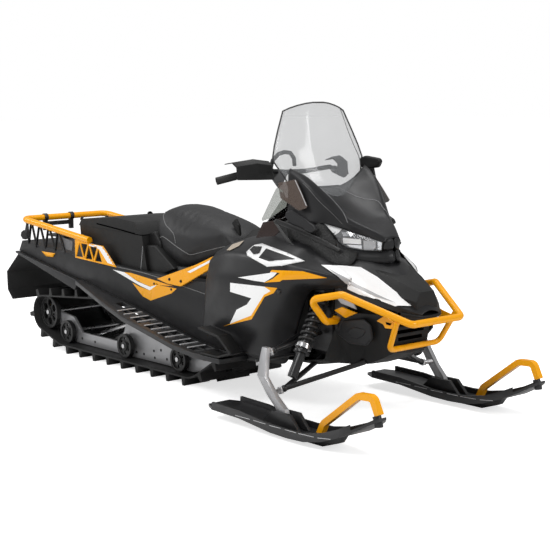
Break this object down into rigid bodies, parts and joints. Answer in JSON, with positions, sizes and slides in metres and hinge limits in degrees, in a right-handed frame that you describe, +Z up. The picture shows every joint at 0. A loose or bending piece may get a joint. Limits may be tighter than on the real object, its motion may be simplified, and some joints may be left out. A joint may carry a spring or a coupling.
{
  "type": "utility snowmobile",
  "caption": "Utility snowmobile with a wide track, two steered skis, a tall windshield, a seat, a lidded cargo box and a tube rack.",
  "frame": {"origin": "on the ground below the middle of the whole length, in the middle plane", "axes": "+X forward along the machine, +Y to the rider's left, +Z up"},
  "size_m": [3.191, 1.137, 1.35],
  "materials": {
    "black_panel": "satin moulded and coated black panels",
    "black_plastic": "textured black plastic",
    "dark_alloy": "dark painted alloy",
    "flap_rubber": "moulded rubber",
    "orange_paint": "orange powder coat",
    "black_steel": "black painted steel",
    "seat_cover": "grained vinyl cover with grey piping",
    "grey_cast": "cast metal",
    "clear_shield": "clear polycarbonate",
    "smoked_shield": "smoked polycarbonate",
    "lamp_lens": "clear lens",
    "lamp_reflector": "bright reflector",
    "track_rubber": "moulded track rubber",
    "wheel_plastic": "rubber-faced plastic wheels",
    "bare_steel": "plated steel",
    "bare_alloy": "extruded alloy",
    "cast_alloy": "cast alloy",
    "spring_steel": "black coated springs",
    "ski_plastic": "moulded black ski plastic",
    "grip_rubber": "soft grip rubber"
  },
  "bodies": {
    "chassis": {"bogie_wheels": "wheel_plastic", "cargo_box": "black_plastic", "dash": "black_plastic", "drive_axle": "bare_steel", "engine": "grey_cast", "frame_braces": "orange_paint", "front_bumper": "orange_paint", "front_frame": "black_steel", "front_shocks": "bare_steel", "front_skid_arm": "black_steel", "front_springs": "spring_steel", "fuel_cap": "black_plastic", "fuel_tank": "black_plastic", "gauge_pod": "black_plastic", "headlamps": "lamp_lens", "hood": "black_panel", "lamp_housings": "lamp_reflector", "lower_arms": "black_steel", "lower_cowl": "black_plastic", "mirror": "black_plastic", "nose_core": "black_plastic", "rack_posts": "black_steel", "rack_trim": "orange_paint", "rack_truss": "black_steel", "rear_idlers": "wheel_plastic", "rear_rack": "orange_paint", "rear_skid_arm": "black_steel", "running_boards": "dark_alloy", "seat": "seat_cover", "seat_base": "black_plastic", "side_beams": "dark_alloy", "side_deflectors": "smoked_shield", "side_panel_left": "black_panel", "side_panel_right": "black_panel", "side_vents": "black_plastic", "skid_shocks": "bare_steel", "slide_rails": "bare_alloy", "snow_flap": "flap_rubber", "toe_holds": "black_plastic", "tow_hitch": "black_steel", "track": "track_rubber", "tunnel": "black_panel", "upper_arms": "black_steel", "wheel_axles": "bare_steel", "windshield": "clear_shield", "windshield_surround": "black_panel"},
    "handlebar": {"handlebar": "black_steel", "grips": "grip_rubber", "hand_guards": "black_plastic", "grab_loop": "black_plastic"},
    "spindle_left": {"spindle_left": "cast_alloy"},
    "spindle_right": {"spindle_right": "cast_alloy"},
    "steering_link": {"steering_link": "black_steel"},
    "ski_left": {"ski_left": "ski_plastic", "ski_loop_left": "orange_paint"},
    "ski_right": {"ski_right": "ski_plastic", "ski_loop_right": "orange_paint"},
    "cargo_lid": {"cargo_lid": "black_plastic"}
  },
  "joints": [
    {"name": "handlebar_steer", "type": "hinge", "parent": "chassis", "child": "handlebar", "pos_m": [0.5675, 0, 1.037], "axis": [-0.5, 0, 0.866], "range_deg": [-28, 28]},
    {"name": "spindle_left_steer", "type": "hinge", "parent": "chassis", "child": "spindle_left", "pos_m": [0.9565, 0.435, 0.162], "axis": [-0.3633, 0, 0.9317], "range_deg": [-27, 27]},
    {"name": "spindle_right_steer", "type": "hinge", "parent": "chassis", "child": "spindle_right", "pos_m": [0.9565, -0.435, 0.162], "axis": [-0.3633, 0, 0.9317], "range_deg": [-27, 27]},
    {"name": "steering_link_slide", "type": "slide", "parent": "chassis", "child": "steering_link", "axis": [0, 1, 0], "range_m": [-0.045, 0.045]},
    {"name": "ski_left_pitch", "type": "hinge", "parent": "spindle_left", "child": "ski_left", "pos_m": [1.0425, 0.4835, 0.078], "axis": [0, 1, 0], "range_deg": [-20, 12]},
    {"name": "ski_right_pitch", "type": "hinge", "parent": "spindle_right", "child": "ski_right", "pos_m": [1.0425, -0.4835, 0.078], "axis": [0, 1, 0], "range_deg": [-20, 12]},
    {"name": "cargo_lid_hinge", "type": "hinge", "parent": "chassis", "child": "cargo_lid", "pos_m": [-0.8695, 0, 0.708], "axis": [0, -1, 0], "range_deg": [0, 100]}
  ],
  "couplings": [
    {"joint": "spindle_left_steer", "follows": "handlebar_steer", "ratio": 0.9},
    {"joint": "spindle_right_steer", "follows": "handlebar_steer", "ratio": 0.9},
    {"joint": "steering_link_slide", "follows": "handlebar_steer", "m_per_rad": -0.081}
  ]
}
